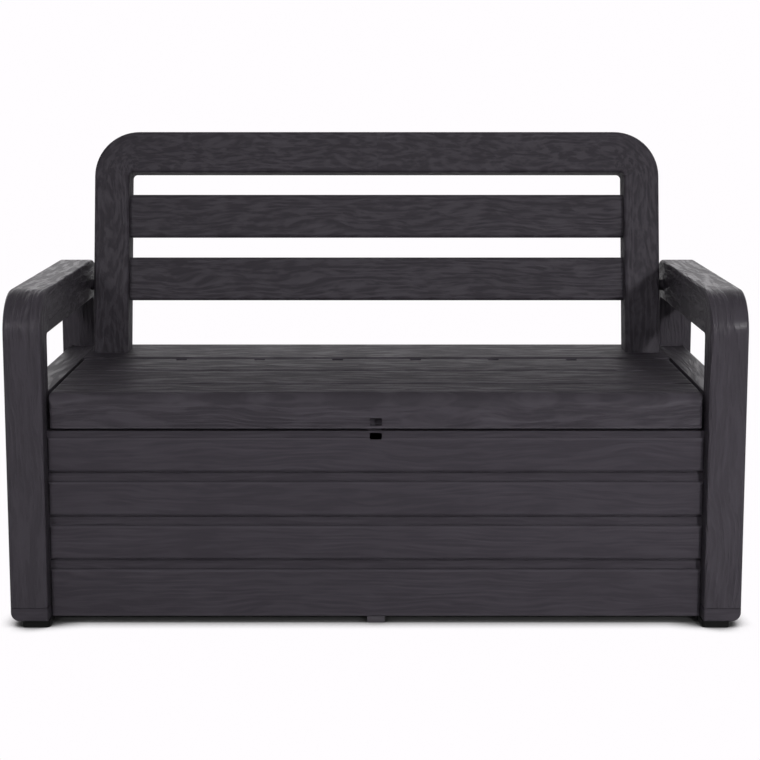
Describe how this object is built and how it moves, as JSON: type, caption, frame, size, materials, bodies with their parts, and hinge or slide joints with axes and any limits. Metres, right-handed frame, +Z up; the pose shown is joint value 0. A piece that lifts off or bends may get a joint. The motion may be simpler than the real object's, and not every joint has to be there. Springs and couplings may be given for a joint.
{
  "type": "outdoor storage bench",
  "caption": "Outdoor storage bench in moulded wood-grain resin, with arm frames, a slatted backrest and a hinged seat lid over a storage box.",
  "frame": {"origin": "on the ground under the middle of the bench", "axes": "+X to the right of someone who faces the bench, +Y to its back, +Z up"},
  "size_m": [1.327, 0.5952, 0.878],
  "materials": {
    "resin": "moulded wood grain, satin",
    "foot_rubber": "matt",
    "steel": "zinc plated"
  },
  "bodies": {
    "base": {"arm_frame_left": "resin", "arm_frame_right": "resin", "foot_cap_front_left": "resin", "foot_pad_front_left": "foot_rubber", "foot_cap_front_right": "resin", "foot_pad_front_right": "foot_rubber", "foot_cap_rear_left": "resin", "foot_pad_rear_left": "foot_rubber", "foot_cap_rear_right": "resin", "foot_pad_rear_right": "foot_rubber", "front_panel": "resin", "rear_panel": "resin", "side_panel_left": "resin", "side_panel_right": "resin", "floor_panel": "resin", "centre_foot_front": "resin", "centre_foot_rear": "resin", "panel_screws": "steel", "rear_rail": "resin", "rail_screws": "steel", "hinge_pins": "steel", "backrest_frame": "resin", "back_slat_upper": "resin", "back_slat_lower": "resin", "backrest_spigot_left": "resin", "backrest_spigot_right": "resin", "backrest_dowel_left": "resin", "backrest_dowel_right": "resin"},
    "lid": {"lid": "resin"}
  },
  "joints": [
    {"name": "lid_hinge", "type": "hinge", "parent": "base", "child": "lid", "pos_m": [0, 0.07737, 0.414], "axis": [-1, 0, 0], "range_deg": [0, 107]}
  ]
}
